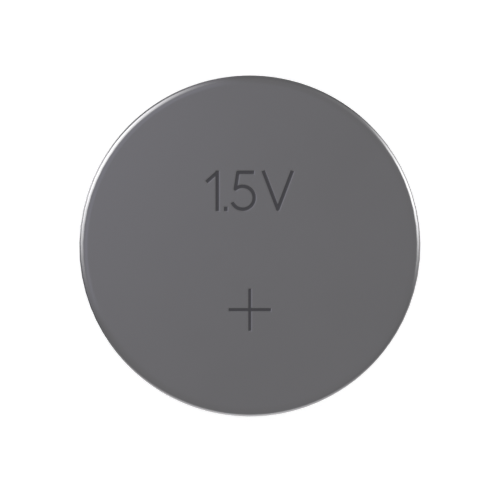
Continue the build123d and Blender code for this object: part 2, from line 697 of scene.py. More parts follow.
class Tree:
    """The nodes of a material, a world or a light."""

    def __init__(self, owner: bpy.types.Material | bpy.types.World | bpy.types.Light) -> None:
        """Starts with no nodes.

        Args:
            owner: the material, the world or the light.
        """
        owner.use_nodes = True
        self.nodes = owner.node_tree.nodes
        self.links = owner.node_tree.links
        self.nodes.clear()

    def _plug(self, socket: bpy.types.NodeSocket, value: Any) -> None:
        """Links or sets a socket.

        Args:
            socket: an input of a node.
            value: a wire, or a number, colour or vector.
        """
        if isinstance(value, Wire):
            self.links.new(value.socket, socket)
        elif socket.type == "RGBA":
            socket.default_value = (*value, 1.0)
        else:
            socket.default_value = value

    def add(
        self, kind: str, settings: dict[str, Any], inputs: dict[Any, Any], output: Any = 0
    ) -> Wire:
        """Adds a node.

        Args:
            kind: the node's type.
            settings: its own properties, which are set first.
            inputs: value or wire of each socket, by name or number.
            output: name or number of the socket that is wanted.

        Returns:
            That output.
        """
        node = self.nodes.new(kind)
        for name, value in settings.items():
            setattr(node, name, value)
        for key, value in inputs.items():
            self._plug(node.inputs[key], value)
        return Wire(self, node.outputs[output])

    def math(self, operation: str, *values: Value) -> Wire:
        """Adds a Math node on the given values, in order."""
        return self.add("ShaderNodeMath", {"operation": operation}, dict(enumerate(values)))

    def close(self, kind: str, shader: Wire) -> None:
        """Links a shader to an output node of the given type."""
        self.links.new(shader.socket, self.nodes.new(kind).inputs["Surface"])

    def finish(self, **sockets: Any) -> None:
        """Ends in a Principled BSDF; an underscore in a socket's name stands for its space."""
        named = {name.replace("_", " "): value for name, value in sockets.items()}
        self.close("ShaderNodeOutputMaterial", self.add("ShaderNodeBsdfPrincipled", {}, named, "BSDF"))

    def place(self) -> Wire:
        """Gives the point on the piece, in millimetres."""
        local = self.add("ShaderNodeTexCoord", {}, {}, "Object")
        return self.add("ShaderNodeVectorMath", {"operation": "SCALE"}, {0: local, "Scale": 1.0 / MM})

    def split(self, vector: Wire) -> tuple[Wire, Wire, Wire]:
        """Gives a vector's x, y and z."""
        split = self.add("ShaderNodeSeparateXYZ", {}, {0: vector}).socket.node
        return tuple(Wire(self, socket) for socket in split.outputs)

    def spot(self, at: Wire) -> Spot:
        """Gives a point's x, y and z and its distance from the axis."""
        x, y, z = self.split(at)
        return x, y, z, (x * x + y * y) ** 0.5

    def join(self, x: Value, y: Value, z: Value) -> Wire:
        """Makes a vector."""
        return self.add("ShaderNodeCombineXYZ", {}, {0: x, 1: y, 2: z})

    def coat(self) -> Wire:
        """Gives the coat attribute: 0 on a sheet's outer skin, 1 on its inner."""
        return self.add("ShaderNodeAttribute", {"attribute_name": COAT}, {}, "Fac")

    def noise(self, vector: Wire, grain: Grain) -> Wire:
        """Gives a grain's noise about 0, mostly within a quarter either way."""
        sockets = {"Vector": vector, "Scale": grain.scale, "Detail": grain.detail, "Roughness": grain.harsh}
        return self.add("ShaderNodeTexNoise", {}, sockets, "Fac") - 0.5

    def drawn(self, spot: Spot, scales: tuple[float, float], grain: Grain) -> Wire:
        """Gives noise drawn out along the axis.

        It is read at (a x / r, a y / r, b z), where r is the distance from the axis and a and b
        are the scales round it and along it.

        Args:
            spot: a point on the piece.
            scales: cells to the radian, and cells to the millimetre of height.
            grain: the noise.

        Returns:
            The noise.
        """
        x, y, z, out = spot
        around, along = scales
        return self.noise(self.join(x / out * around, y / out * around, z * along), grain)

    def cells(self, vector: Wire, scale: float, read: Cell) -> Wire:
        """Gives Voronoi cells: the distance from their middles, or a random number for each."""
        found = self.add("ShaderNodeTexVoronoi", {}, {"Vector": vector, "Scale": scale}, read.value)
        return self.split(found)[0] if read is Cell.NUMBER else found

    def mix(self, share: Value, first: Paint, second: Paint, blend: str = "MIX") -> Wire:
        """Blends two colours by a share, which is 0 for the first."""
        sockets = {MIX_SHARE: share, MIX_FIRST: first, MIX_SECOND: second}
        return self.add("ShaderNodeMix", {"data_type": "RGBA", "blend_type": blend}, sockets, MIX_RESULT)

    def shade(self, colour: Paint, amount: Wire) -> Wire:
        """Multiplies a colour by 1 plus an amount."""
        return self.mix(1.0, colour, self.join(*[amount + 1.0] * 3), "MULTIPLY")

    def bump(self, height: Wire, depth: float) -> Wire:
        """Turns a height into a normal; depth is what a height of 1 stands for, in metres."""
        return self.add("ShaderNodeBump", {}, {"Height": height, "Distance": depth}, "Normal")


# --------------------------------------------------------------------------- finishes


@dataclass(frozen=True)
class Finish(ABC):
    """What a surface is made of, and how it was left.

    Its lengths are in millimetres, but where it says metres. Its depth, in metres, is what a
    height of 1 in its relief stands for.
    """

    name: str

    def material(self) -> bpy.types.Material:
        """Makes the material.

        Returns:
            The material, painted.
        """
        material = bpy.data.materials.new(self.name)
        self.paint(Tree(material))
        return material

    @abstractmethod
    def paint(self, tree: Tree) -> None:
        """Adds the finish's own nodes to the tree."""


@dataclass(frozen=True)
class NickelledCan(Finish):
    """Satin nickel plate on drawn steel, with dark engraved marks on the face.

    Attributes:
        top: height of the face.
        radius: of the side wall.
        edge_radius: of the face's rounded edge.
        groove: depth of the marks.
        crimp_top: height where the crimp's bend starts.
    """

    top: float
    radius: float
    edge_radius: float
    groove: float
    crimp_top: float = 1.53
    wall_edge: Span = (-0.10, -0.01)  # about the radius, where the wall's finish comes in
    bend_share: float = 0.6  # of the edge radius, over which the face's finish gives way
    crimp_edge: Span = (-0.35, 0.05)  # about the crimp's top, where the die's marks give way
    groove_edge: Span = (0.15, 0.80)  # shares of the groove, where the burnt finish comes in
    mark_edge: Span = (-0.4, -0.2)  # about the flat's rim, past which nothing is burnt
    lining_edge: Span = (0.6, 0.9)  # of the coat, where the lining comes in
    nickel: Colour = (0.600, 0.597, 0.606)
    burnt: Colour = (0.245, 0.243, 0.256)
    lining: Colour = (0.115, 0.115, 0.120)
    lining_metallic: float = 0.25
    face_roughness: float = 0.17
    bend_roughness: float = 0.16
    wall_roughness: float = 0.24
    burnt_roughness: float = 0.42
    lining_roughness: float = 0.60
    cloud: Grain = Grain(0.45, tint=0.04, gloss=0.05)
    satin: Grain = Grain(26.0, 3.0, 0.6, tint=0.02, gloss=0.03, relief=0.5)
    burnt_satin: Grain = Grain(tint=0.25, relief=2.0)  # what the satin does in the marks
    lining_satin: Grain = Grain(tint=0.40)  # and on the lining
    lines: Grain = Grain(1.0, 4.0, 0.6)
    line_scales: tuple[float, float] = (62.0, 0.8)  # round the axis and along it
    rings: Grain = Grain(1.0, 3.0)
    ring_scales: tuple[float, float] = (34.0, 12.0)  # up the crimp and out from the axis
    rubbed: Grain = Grain(tint=0.10, gloss=0.16, relief=2.0)  # what lines and rings both do
    depth: float = 0.0008 * MM

    def paint(self, tree: Tree) -> None:
        """Lays satin on the face, draw lines on the wall and die marks on the crimp.

        Args:
            tree: the material's nodes.
        """
        at = tree.place()
        spot = tree.spot(at)
        z, out = spot[2:]
        flat = self.radius - self.edge_radius
        on_wall = out.step(*self.wall_edge, self.radius)
        off_face = out.step(0.0, self.bend_share * self.edge_radius, flat)
        on_crimp = 1.0 - z.step(*self.crimp_edge, self.crimp_top)
        sunk = (self.top - z).step(*(share * self.groove for share in self.groove_edge))
        marked = sunk * (1.0 - out.step(*self.mark_edge, flat))
        lined = tree.coat().step(*self.lining_edge)

        cloud = tree.noise(at, self.cloud)
        satin = tree.noise(at, self.satin)
        lines = tree.drawn(spot, self.line_scales, self.lines)
        upward, outward = self.ring_scales
        rings = tree.noise(tree.join(0.0, 0.0, z * upward + out * outward), self.rings)
        rubbed = lines * on_wall * (1.0 - on_crimp) + rings * on_crimp

        roughness = self.face_roughness + off_face * (self.bend_roughness - self.face_roughness)
        roughness = roughness + on_wall * (self.wall_roughness - self.bend_roughness)
        roughness = roughness + cloud * self.cloud.gloss + satin * self.satin.gloss
        roughness = roughness + rubbed * self.rubbed.gloss
        roughness = roughness + marked * (self.burnt_roughness - self.face_roughness)
        roughness = roughness + lined * (self.lining_roughness - self.wall_roughness)

        tint = cloud * self.cloud.tint + satin * self.satin.tint + rubbed * self.rubbed.tint
        burnt = tree.shade(self.burnt, satin * self.burnt_satin.tint)
        lining = tree.shade(self.lining, satin * self.lining_satin.tint)
        relief = satin * self.satin.relief + rubbed * self.rubbed.relief
        tree.finish(
            Base_Color=tree.mix(lined, tree.mix(marked, tree.shade(self.nickel, tint), burnt), lining),
            Metallic=1.0 - lined * (1.0 - self.lining_metallic),
            Roughness=roughness,
            Normal=tree.bump(relief + marked * satin * self.burnt_satin.relief, self.depth),
        )


@dataclass(frozen=True)
class CladSheet(Finish):
    """Nickel outside, copper inside, and the steel between them at the cut edge.

    Attributes:
        contact_radius: of the contact, round whose edge the sheet is stretched.
    """

    contact_radius: float
    riser_edge: Span = (-0.30, 0.05)  # about that radius, where the draw lines come in
    cut_edge: Span = (0.20, 0.45)  # of the coat, where the steel comes in
    inner_edge: Span = (0.55, 0.80)  # of the coat, where the copper comes in
    nickel: Colour = (0.640, 0.615, 0.575)
    steel: Colour = (0.520, 0.515, 0.510)
    copper: Colour = (0.800, 0.430, 0.290)
    roughness: float = 0.22
    cloud: Grain = Grain(0.6, tint=0.06, gloss=0.06)
    satin: Grain = Grain(24.0, 3.0, 0.6, tint=0.03, gloss=0.05, relief=0.5)
    lines: Grain = Grain(1.0, 4.0, 0.6, tint=0.10, gloss=0.14, relief=2.0)
    line_scales: tuple[float, float] = (55.0, 1.2)  # round the axis and along it
    shear: Grain = Grain(1.0, 2.0, tint=0.4, gloss=0.15, relief=4.0)
    shear_scales: tuple[float, float] = (160.0, 3.0)
    depth: float = 0.0010 * MM

    def paint(self, tree: Tree) -> None:
        """Chooses the metal by the coat, and draws it thinly where the sheet was stretched.

        Args:
            tree: the material's nodes.
        """
        at = tree.place()
        spot = tree.spot(at)
        coat = tree.coat()
        inner = coat.step(*self.inner_edge)
        cut = coat.step(*self.cut_edge) - inner
        riser = spot[3].step(*self.riser_edge, self.contact_radius)
        cloud = tree.noise(at, self.cloud)
        satin = tree.noise(at, self.satin)
        lines = tree.drawn(spot, self.line_scales, self.lines) * riser
        shear = cut * tree.drawn(spot, self.shear_scales, self.shear)
        metal = tree.mix(cut, tree.mix(inner, self.nickel, self.copper), self.steel)
        tint = cloud * self.cloud.tint + satin * self.satin.tint + lines * self.lines.tint
        gloss = self.roughness + cloud * self.cloud.gloss + satin * self.satin.gloss
        relief = satin * self.satin.relief + lines * self.lines.relief
        tree.finish(
            Base_Color=tree.shade(metal, tint + shear * self.shear.tint),
            Metallic=1.0,
            Roughness=gloss + lines * self.lines.gloss + cut * self.shear.gloss,
            Normal=tree.bump(relief + shear * self.shear.relief, self.depth),
        )


@dataclass(frozen=True)
class MouldedNylon(Finish):
    """Natural nylon, milky, with the faint flow marks of moulding."""

    nylon: Colour = (0.720, 0.700, 0.620)
    roughness: float = 0.40
    scatter: float = 0.18
    scatter_ratios: Colour = (0.9, 0.8, 0.6)  # how far red, green and blue go into it
    scatter_reach: float = 0.15 * MM  # how far a ratio of 1 is, in metres
    ior: float = 1.53
    flow: Grain = Grain(1.4, 3.0, tint=0.12, gloss=0.08)
    waxy: Grain = Grain(32.0, 3.0, 0.6, tint=0.06, gloss=0.12)
    depth: float = 0.0025 * MM

    def paint(self, tree: Tree) -> None:
        """Clouds the nylon and gives it a slight waxy grain.

        Args:
            tree: the material's nodes.
        """
        at = tree.place()
        flow = tree.noise(at, self.flow)
        waxy = tree.noise(at, self.waxy)
        tree.finish(
            Base_Color=tree.shade(self.nylon, flow * self.flow.tint + waxy * self.waxy.tint),
            Roughness=self.roughness + flow * self.flow.gloss + waxy * self.waxy.gloss,
            Normal=tree.bump(waxy + flow, self.depth),
            Subsurface_Weight=self.scatter,
            Subsurface_Radius=self.scatter_ratios,
            Subsurface_Scale=self.scatter_reach,
            IOR=self.ior,
        )


@dataclass(frozen=True)
class PressedMix(Finish):
    """Manganese dioxide and graphite powder, pressed hard."""

    oxide: Colour = (0.022, 0.021, 0.023)
    graphite: Colour = (0.190, 0.190, 0.200)
    roughness: float = 0.72
    powder: Grain = Grain(18.0, 5.0, 0.7, tint=0.9, gloss=0.2, relief=2.0)
    flake_scale: float = 22.0
    flake_edge: Span = (0.78, 0.84)  # of a cell's random number, past which it is a flake
    flake_metallic: float = 0.7
    flake_gloss: float = 0.35
    pit_scale: float = 9.0
    pit_edge: Span = (0.05, 0.35)  # of the distance from a pit's middle
    depth: float = 0.010 * MM

    def paint(self, tree: Tree) -> None:
        """Scatters bright graphite flakes over a dull granular black.

        Args:
            tree: the material's nodes.
        """
        at = tree.place()
        powder = tree.noise(at, self.powder)
        flake = tree.cells(at, self.flake_scale, Cell.NUMBER).step(*self.flake_edge)
        pit = tree.cells(at, self.pit_scale, Cell.DISTANCE).step(*self.pit_edge)
        mixed = tree.mix(flake, self.oxide, self.graphite)
        tree.finish(
            Base_Color=tree.shade(mixed, powder * self.powder.tint),
            Metallic=flake * self.flake_metallic,
            Roughness=self.roughness + powder * self.powder.gloss - flake * self.flake_gloss,
            Normal=tree.bump(powder * self.powder.relief + pit, self.depth),
        )


@dataclass(frozen=True)
class TurnedSteel(Finish):
    """Pressed steel strip, bright, with fine rings from the press."""

    steel: Colour = (0.560, 0.550, 0.535)
    roughness: float = 0.26
    rings: Grain = Grain(1.0, 4.0, 0.6, tint=0.12, gloss=0.18)
    ring_scale: float = 26.0
    cloud: Grain = Grain(0.8, tint=0.06, gloss=0.05)
    depth: float = 0.0015 * MM

    def paint(self, tree: Tree) -> None:
        """Rings the steel about the axis.

        Args:
            tree: the material's nodes.
        """
        at = tree.place()
        z, out = tree.spot(at)[2:]
        rings = tree.noise(tree.join(out * self.ring_scale, z * self.ring_scale, 0.0), self.rings)
        cloud = tree.noise(at, self.cloud)
        tree.finish(
            Base_Color=tree.shade(self.steel, rings * self.rings.tint + cloud * self.cloud.tint),
            Metallic=1.0,
            Roughness=self.roughness + rings * self.rings.gloss + cloud * self.cloud.gloss,
            Normal=tree.bump(rings, self.depth),
        )


@dataclass(frozen=True)
class CelluloseFilm(Finish):
    """Thin regenerated cellulose, faintly yellow and crinkled."""

    film: Colour = (0.800, 0.765, 0.600)
    roughness: float = 0.24
    ior: float = 1.47
    crinkle: Grain = Grain(1.6, 4.0, 0.55, tint=0.10, gloss=0.15)
    stain: Grain = Grain(0.5, tint=0.25)
    depth: float = 0.020 * MM

    def paint(self, tree: Tree) -> None:
        """Crinkles the film and stains it a little.

        Args:
            tree: the material's nodes.
        """
        at = tree.place()
        crinkle = tree.noise(at, self.crinkle)
        stain = tree.noise(at, self.stain)
        tree.finish(
            Base_Color=tree.shade(self.film, stain * self.stain.tint + crinkle * self.crinkle.tint),
            Roughness=self.roughness + crinkle * self.crinkle.gloss,
            Normal=tree.bump(crinkle, self.depth),
            IOR=self.ior,
        )


@dataclass(frozen=True)
class FibreMat(Finish):
    """Non-woven fibre: layers of fine threads laid at different angles."""

    fibre: Colour = (0.810, 0.800, 0.760)
    shadow: Colour = (0.420, 0.410, 0.380)
    roughness: float = 0.88
    lay: tuple[float, ...] = (15.0, 78.0, 137.0)  # direction of each layer, in degrees
    stretch: tuple[float, float, float] = (1.1, 0.065, 0.16)  # a thread's length, width, height
    threads: Grain = Grain(1.0, 3.0, 0.6)
    thread_edge: Span = (0.48, 0.72)  # of the noise about a half, from gap to thread
    depth: float = 0.030 * MM

    def paint(self, tree: Tree) -> None:
        """Stretches noise along each layer's direction and keeps the highest thread.

        Args:
            tree: the material's nodes.
        """
        at = tree.place()
        mat: Value = 0.0
        for angle in self.lay:
            turned = {"Vector": at, "Rotation": (0.0, 0.0, math.radians(angle)), "Scale": self.stretch}
            along = tree.add("ShaderNodeMapping", {"vector_type": "TEXTURE"}, turned)
            mat = tree.math("MAXIMUM", mat, tree.noise(along, self.threads) + 0.5)
        thread = mat.step(*self.thread_edge)
        tree.finish(
            Base_Color=tree.mix(thread, self.shadow, self.fibre),
            Roughness=self.roughness,
            Normal=tree.bump(thread, self.depth),
        )


@dataclass(frozen=True)
class ZincGel(Finish):
    """Zinc powder in clear gel: grey metal grains under a wet skin."""

    zinc: Colour = (0.400, 0.415, 0.440)
    gel: Colour = (0.120, 0.125, 0.135)
    roughness: float = 0.38
    coarse_scale: float = 7.0
    coarse_edge: Span = (0.15, 0.60)  # of the distance from a grain's middle
    coarse_share: float = 0.6
    fine_scale: float = 15.0
    fine_edge: Span = (0.10, 0.50)
    fine_share: float = 0.4
    grain_metallic: float = 0.7
    grain_tint: float = 0.3
    grain_gloss: float = 0.2
    wetness: float = 0.6
    wet_roughness: float = 0.12
    depth: float = 0.030 * MM

    def paint(self, tree: Tree) -> None:
        """Sets grains of two sizes in the gel.

        Args:
            tree: the material's nodes.
        """
        at = tree.place()
        coarse = 1.0 - tree.cells(at, self.coarse_scale, Cell.DISTANCE).step(*self.coarse_edge)
        fine = 1.0 - tree.cells(at, self.fine_scale, Cell.DISTANCE).step(*self.fine_edge)
        shade = tree.cells(at, self.coarse_scale, Cell.NUMBER)
        powder = tree.mix(coarse * self.coarse_share + fine * self.fine_share, self.gel, self.zinc)
        tree.finish(
            Base_Color=tree.shade(powder, shade * self.grain_tint - self.grain_tint / 2),
            Metallic=coarse * self.grain_metallic,
            Roughness=self.roughness + shade * self.grain_gloss,
            Normal=tree.bump(coarse + fine * self.fine_share, self.depth),
            Coat_Weight=self.wetness,
            Coat_Roughness=self.wet_roughness,
        )


@dataclass(frozen=True)
class Paper(Finish):
    """Plain white paper with a faint tooth, which glows a little so that it looks fully lit."""

    white: Colour = (0.800, 0.800, 0.800)
    roughness: float = 0.9
    glow: Colour = (1.0, 1.0, 1.0)
    glow_strength: float = 0.56
    tooth: Grain = Grain(6.0, 3.0)
    depth: float = 0.004 * MM

    def paint(self, tree: Tree) -> None:
        """Gives the paper its tooth and its glow.

        Args:
            tree: the material's nodes.
        """
        tree.finish(
            Base_Color=self.white,
            Roughness=self.roughness,
            Normal=tree.bump(tree.noise(tree.place(), self.tooth), self.depth),
            Emission_Color=self.glow,
            Emission_Strength=self.glow_strength,
        )


# ----------------------------------------------------------------------------- pieces


def dress(surface: Surface, node: str, finish: Finish) -> bpy.types.Object:
    """Makes a piece that stands for a node of the frame.

    Args:
        surface: its shape.
        node: the solid that it replaces, which also names it.
        finish: its material.

    Returns:
        The piece, riding on the cell's only body.
    """
    piece = surface.to_object(f"{node}_fine")
    piece.data.materials.append(finish.material())
    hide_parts(node)
    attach(piece, BODY)
    LOG.info("%s: %d faces, %s", piece.name, len(piece.data.polygons), finish.name)
    return piece


@dataclass(frozen=True)
class Closure:
    """The can, the gasket and the cap, crimped together.

    Attributes:
        radius: of the can.
        top: height of the positive face.
        bottom: height of the negative contact.
        fold_height: height of the cap's folded rim.
        gasket_top: height of the gasket's upper edge.
    """

    radius: float
    top: float
    bottom: float
    fold_height: float
    gasket_top: float
    can_sheet: float = 0.25 * MM
    can_edge_radius: float = 0.30 * MM
    crimp_turn: float = math.radians(65.0)
    crimp_radius: float = 0.80 * MM
    lip_radius: float = 4.95 * MM
    lip_height: float = 0.62 * MM
    lip_edge_radius: float = 0.06 * MM
    cap_sheet: float = 0.20 * MM
    contact_radius: float = 4.45 * MM
    contact_edge_radius: float = 0.35 * MM
    step_radius: float = 4.58 * MM
    step_height: float = 0.95 * MM
    step_bend_radius: float = 0.10 * MM
    shoulder_height: float = 1.08 * MM
    shoulder_bend_radius: float = 0.25 * MM
    skirt_radius: float = 5.02 * MM
    fold_gap: float = 0.04 * MM
    outer_leaf_height: float = 1.35 * MM
    cut_radius: float = 0.02 * MM
    gasket_lip_height: float = 0.70 * MM
    short_leg_radius: float = 4.55 * MM
    short_leg_height: float = 2.30 * MM
    mould_radius: float = 0.015 * MM
    segments: int = 256
    face_inset: float = 0.10 * MM  # from the rounded edge to the circle round the marked face
    ring_rows: int = 4  # of points from the grid of the marks to that circle

    @classmethod
    def from_frame(cls) -> "Closure":
        """Takes the cell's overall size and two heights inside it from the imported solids.

        Returns:
            The closure.
        """
        return cls(
            radius=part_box("can")[1].x,
            top=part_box("can")[1].z,
            bottom=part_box("cap")[0].z,
            fold_height=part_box("cap")[1].z,
            gasket_top=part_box("gasket")[1].z,
        )

    @property
    def bore(self) -> float:
        """Inner radius of the can."""
        return self.radius - self.can_sheet

    @property
    def floor(self) -> float:
        """Height of the inside of the positive face."""
        return self.top - self.can_sheet

    @property
    def can_skin(self) -> np.ndarray:
        """Lists the corners of the can's outer skin, from the axis to the lip.

        Returns:
            (4, 2) array of (radius, height).
        """
        rise = (self.radius - self.lip_radius) / math.tan(self.crimp_turn)
        wall = [(self.radius, self.top), (self.radius, self.lip_height + rise)]
        return np.array([(0.0, self.top), *wall, (self.lip_radius, self.lip_height)])

    @property
    def crown_skin(self) -> np.ndarray:
        """Lists the corners of the cap's outer skin, from the axis to the foot of the skirt.

        Returns:
            (4, 2) array of (radius, height).
        """
        contact = [(0.0, self.bottom), (self.contact_radius, self.bottom)]
        step = (self.step_radius, self.step_height)
        return np.array([*contact, step, (self.skirt_radius, self.shoulder_height)])

    @property
    def crown_radii(self) -> tuple[float, float, float]:
        """Bend radii of the cap's outer skin, up to the skirt."""
        return self.contact_edge_radius, self.step_bend_radius, self.shoulder_bend_radius

    def can_section(self) -> Section:
        """Thickens the can's skin inwards."""
        bends, lip = (self.can_edge_radius, self.crimp_radius), self.lip_edge_radius
        return sheet_section(self.can_skin, bends, -self.can_sheet, lip, on_axis=True)

    def cap_section(self) -> Section:
        """Thickens the cap's skin inwards, round the fold and down the outer leaf.

        Returns:
            The cap's section.
        """
        inside = self.fold_height - self.cap_sheet
        leaf = self.skirt_radius + self.fold_gap
        rim = [(self.skirt_radius, inside), (leaf, inside), (leaf, self.outer_leaf_height)]
        bends = (*self.crown_radii, self.fold_gap / 2, self.fold_gap / 2)
        skin = np.vstack([self.crown_skin, rim])
        return sheet_section(skin, bends, self.cap_sheet, self.cut_radius, on_axis=True)

    def gasket_section(self) -> Section:
        """Fills the space between the two sheets, as a J with the folded rim in it.

        Returns:
            The gasket's section.
        """
        inner = mitred(self.can_skin, -self.can_sheet)
        lip_middle = (self.can_skin[3] + inner[3]) / 2
        fold_inner = self.skirt_radius - self.cap_sheet
        fold_outer = self.skirt_radius + self.fold_gap + self.cap_sheet
        fold_radius = (fold_outer - fold_inner) / 2
        lean = (self.step_radius - self.contact_radius) / (self.step_height - self.bottom)
        at_riser = self.contact_radius + lean * (self.gasket_lip_height - self.bottom)
        small = self.mould_radius
        rows = [
            (fold_outer, self.outer_leaf_height, small),
            (self.skirt_radius, self.outer_leaf_height, small),
            (*self.crown_skin[3], self.shoulder_bend_radius),
            (*self.crown_skin[2], self.step_bend_radius),
            (at_riser, self.gasket_lip_height, small),
            (*lip_middle, small),
            (*inner[3], small),
            (*inner[2], self.crimp_radius - self.can_sheet),
            (self.bore, self.gasket_top, small),
            (self.short_leg_radius, self.gasket_top, small),
            (self.short_leg_radius, self.short_leg_height, small),
            (fold_inner, self.short_leg_height, small),
            (fold_inner, self.fold_height, fold_radius),
            (fold_outer, self.fold_height, fold_radius),
        ]
        return solid_section(rows, on_axis=False)

    def _face(self, engraving: Engraving, flat_radius: float) -> tuple[Surface, np.ndarray]:
        """Makes the positive face.

        A rectangular grid holds the marks. A ring is ruled from the grid's edge to the
        circle: its point at share s is (1 - s) edge + s circle, at the same angle.

        Args:
            engraving: the marks.
            flat_radius: radius of the circle.

        Returns:
            The surface, and the angles of its outermost points.
        """
        xs, ys = engraving.patch()
        across, up = np.meshgrid(xs, ys)
        patch = np.stack([across, up, self.top - engraving.sunk(across, up)], axis=-1)
        low_x, low_y = np.full(len(ys) - 1, xs[0]), np.full(len(xs) - 1, ys[0])
        high_x, high_y = np.full(len(ys) - 1, xs[-1]), np.full(len(xs) - 1, ys[-1])
        edge_x = np.concatenate([xs[:-1], high_x, xs[:0:-1], low_x])
        edge_y = np.concatenate([low_y, ys[:-1], high_y, ys[:0:-1]])
        angles = np.arctan2(edge_y, edge_x)
        share = np.linspace(0.0, 1.0, self.ring_rows)[:, None]
        ring_x = (1.0 - share) * edge_x + share * flat_radius * np.cos(angles)
        ring_y = (1.0 - share) * edge_y + share * flat_radius * np.sin(angles)
        ring = np.stack([ring_x, ring_y, np.full(ring_x.shape, self.top)], axis=-1)
        coat = Coat.OUTER.value
        inner = Surface.grid(patch[:, ::-1], np.full(across.shape, coat), wrap=False)
        outer = Surface.grid(ring, np.full(ring_x.shape, coat), wrap=True)
        return inner.joined(outer), angles

    def can(self, engraving: Engraving) -> bpy.types.Object:
        """Makes the can, with the marked face in place of its plain disc.

        Args:
            engraving: the marks.

        Returns:
            The can.
        """
        section = self.can_section()
        flat_radius = self.radius - self.can_edge_radius - self.face_inset
        corners = section.corners.copy()
        corners[0, 0] = flat_radius
        face, angles = self._face(engraving, flat_radius)
        rest = Surface.turned(replace(section, corners=corners), angles)
        finish = NickelledCan(
            "satin_nickel_plate",
            top=self.top / MM,
            radius=self.radius / MM,
            edge_radius=self.can_edge_radius / MM,
            groove=engraving.depth / MM,
        )
        return dress(rest.joined(face), "can", finish)

    def gasket(self) -> bpy.types.Object:
        """Makes the insulating gasket."""
        shape = Surface.turned(self.gasket_section(), even_angles(self.segments))
        return dress(shape, "gasket", MouldedNylon("natural_nylon"))

    def cap(self) -> bpy.types.Object:
        """Makes the cap, which is the negative contact.

        Returns:
            The cap.
        """
        shape = Surface.turned(self.cap_section(), even_angles(self.segments))
        clad = CladSheet("nickel_steel_copper_clad", self.contact_radius / MM)
        return dress(shape, "cap", clad)


@dataclass(frozen=True)
class Contents:
    """What the closure holds: both electrodes, what keeps them apart, and the pellet's ring.

    Attributes:
        closure: the closure.
        pellet_face: height of the pellet's lower face.
        ring_top: height of the ring's upright edge.
        film_face: height of the film's lower face.
        pad_face: height of the pad's lower face.
        film_radius: of the film.
    """

    closure: Closure
    pellet_face: float
    ring_top: float
    film_face: float
    pad_face: float
    film_radius: float
    ring_sheet: float = 0.20 * MM
    ring_inner_radius: float = 4.60 * MM
    ring_bend_radius: float = 0.25 * MM
    pellet_chamfer: float = 0.12 * MM
    small: float = 0.015 * MM  # rounding of the plain edges
    segments: int = 192

    @classmethod
    def from_frame(cls, closure: Closure) -> "Contents":
        """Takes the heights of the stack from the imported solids.

        Args:
            closure: the closure.

        Returns:
            The contents.
        """
        return cls(
            closure=closure,
            pellet_face=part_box("cathode_pellet")[0].z,
            ring_top=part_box("pellet_ring")[1].z,
            film_face=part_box("separator_film")[0].z,
            pad_face=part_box("absorbent_pad")[0].z,
            film_radius=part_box("separator_film")[1].x,
        )

    def _turn(self, section: Section) -> Surface:
        """Turns a section in even steps."""
        return Surface.turned(section, even_angles(self.segments))

    def _disc(self, radius: float, low: float, high: float) -> Surface:
        """Turns a rectangle with rounded edges that starts on the axis."""
        edges = [(radius, low, self.small), (radius, high, self.small)]
        return self._turn(solid_section([(0.0, low, 0.0), *edges, (0.0, high, 0.0)], on_axis=True))

    def pellet_ring(self) -> bpy.types.Object:
        """Makes the L-shaped ring round the pellet's lower edge.

        Returns:
            The ring.
        """
        bore, low, bends = self.closure.bore, self.pellet_face, [self.ring_bend_radius]
        skin = [(self.ring_inner_radius, low), (bore, low), (bore, self.ring_top)]
        section = sheet_section(skin, bends, self.ring_sheet, self.small, on_axis=False)
        return dress(self._turn(section), "pellet_ring", TurnedSteel("pressed_steel"))

    def cathode_pellet(self) -> bpy.types.Object:
        """Makes the pellet, stepped where the ring sits and chamfered where it meets the can.

        Returns:
            The pellet.
        """
        bore, top, chamfer = self.closure.bore, self.closure.floor, self.pellet_chamfer
        step, leg = self.pellet_face + self.ring_sheet, bore - self.ring_sheet
        rows = [
            (0.0, self.pellet_face, 0.0),
            (self.ring_inner_radius, self.pellet_face, self.small),
            (self.ring_inner_radius, step, self.small),
            (leg, step, self.ring_bend_radius - self.ring_sheet),
            (leg, self.ring_top, self.small),
            (bore, self.ring_top, self.small),
            (bore, top - chamfer, self.small),
            (bore - chamfer, top, self.small),
            (0.0, top, 0.0),
        ]
        shape = self._turn(solid_section(rows, on_axis=True))
        return dress(shape, "cathode_pellet", PressedMix("manganese_graphite_mix"))

    def separator_film(self) -> bpy.types.Object:
        """Makes the barrier film."""
        shape = self._disc(self.film_radius, self.film_face, self.pellet_face)
        return dress(shape, "separator_film", CelluloseFilm("cellulose_film"))

    def absorbent_pad(self) -> bpy.types.Object:
        """Makes the pad that holds the electrolyte."""
        shape = self._disc(self.closure.short_leg_radius, self.pad_face, self.film_face)
        return dress(shape, "absorbent_pad", FibreMat("non_woven_fibre"))

    def anode_gel(self) -> bpy.types.Object:
        """Fills the cap and the gasket's short leg with gel, up to the pad.

        Returns:
            The gel.
        """
        cell = self.closure
        leg, leg_height = cell.short_leg_radius, cell.short_leg_height
        crown = np.vstack([cell.crown_skin, (cell.skirt_radius, leg_height)])
        turned_left = np.array([1.0, -1.0, 1.0])
        bends = np.array(cell.crown_radii) - cell.cap_sheet * turned_left
        rim = [(leg, leg_height), (leg, self.pad_face), (0.0, self.pad_face)]
        corners = np.vstack([mitred(crown, cell.cap_sheet), rim])
        radii = [0.0, *bends, self.small, self.small, self.small, 0.0]
        shape = self._turn(solid_section(np.column_stack([corners, radii]), on_axis=True))
        return dress(shape, "anode_gel", ZincGel("zinc_powder_gel"))


# ------------------------------------------------------------------ light and camera


def aim(azimuth: float, elevation: float) -> Vector:
    """Gives the unit vector at an azimuth from +X and an elevation, in degrees."""
    turn, rise = math.radians(azimuth), math.radians(elevation)
    return Vector((math.cos(turn) * math.cos(rise), math.sin(turn) * math.cos(rise), math.sin(rise)))


